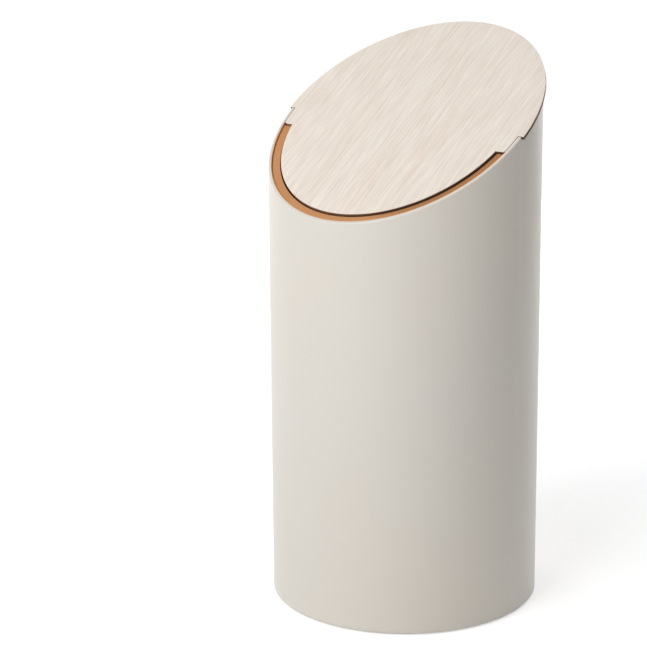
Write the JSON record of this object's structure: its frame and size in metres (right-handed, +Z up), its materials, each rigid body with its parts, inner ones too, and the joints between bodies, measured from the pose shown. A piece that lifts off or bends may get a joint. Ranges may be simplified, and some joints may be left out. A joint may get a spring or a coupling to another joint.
{
  "type": "waste bin",
  "caption": "Round waste bin cut at a slant, with a flat wood-faced swing lid hung on a rod in a collar that lifts out to change the bag.",
  "frame": {"origin": "on the floor, under the axis of the tube", "axes": "+Z up along the tube, low side of the slanted mouth towards -Y, high side towards +Y, +X to the right when the low side faces the viewer"},
  "size_m": [0.2334, 0.2324, 0.4832],
  "materials": {
    "ivory_shell": "bent board, ivory matte paint outside",
    "raw_board": "raw board, sanded",
    "zinc_steel": "zinc-plated steel",
    "foot_rubber": "matte rubber",
    "tan_collar": "raw tan board with a fine fibre",
    "bush_nylon": "natural nylon",
    "dowel_beech": "turned beech dowel",
    "pad_felt": "pressed felt",
    "dark_core": "dark board with cut edges",
    "pale_veneer": "pale whitewashed veneer, grain along the slope, satin"
  },
  "bodies": {
    "shell": {"outer_shell": "ivory_shell", "seat_hoop": "raw_board", "base_hoop": "raw_board", "base_panel": "raw_board", "base_screws": "zinc_steel", "foot_pad_1": "foot_rubber", "foot_pad_2": "foot_rubber", "foot_pad_3": "foot_rubber", "foot_pad_4": "foot_rubber"},
    "collar": {"lid_collar": "tan_collar", "pivot_bush_left": "bush_nylon", "pivot_bush_right": "bush_nylon", "swing_stop_left": "dowel_beech", "swing_stop_right": "dowel_beech", "rest_pad_1": "pad_felt", "rest_pad_2": "pad_felt", "rest_pad_3": "pad_felt", "rest_pad_4": "pad_felt"},
    "lid": {"lid_core": "dark_core", "lid_veneer": "pale_veneer", "lid_backing": "raw_board", "pivot_rod": "zinc_steel", "rod_clip_1": "zinc_steel", "rod_clip_2": "zinc_steel", "rod_clip_3": "zinc_steel", "clip_screws": "zinc_steel"}
  },
  "joints": [
    {"name": "collar_lift", "type": "slide", "parent": "shell", "child": "collar", "axis": [0, 0, 1], "range_m": [0, 0.19]},
    {"name": "lid_swing", "type": "hinge", "parent": "collar", "child": "lid", "pos_m": [0, -0.02575, 0.39506], "axis": [1, 0, 0], "range_deg": [0, 48]}
  ]
}
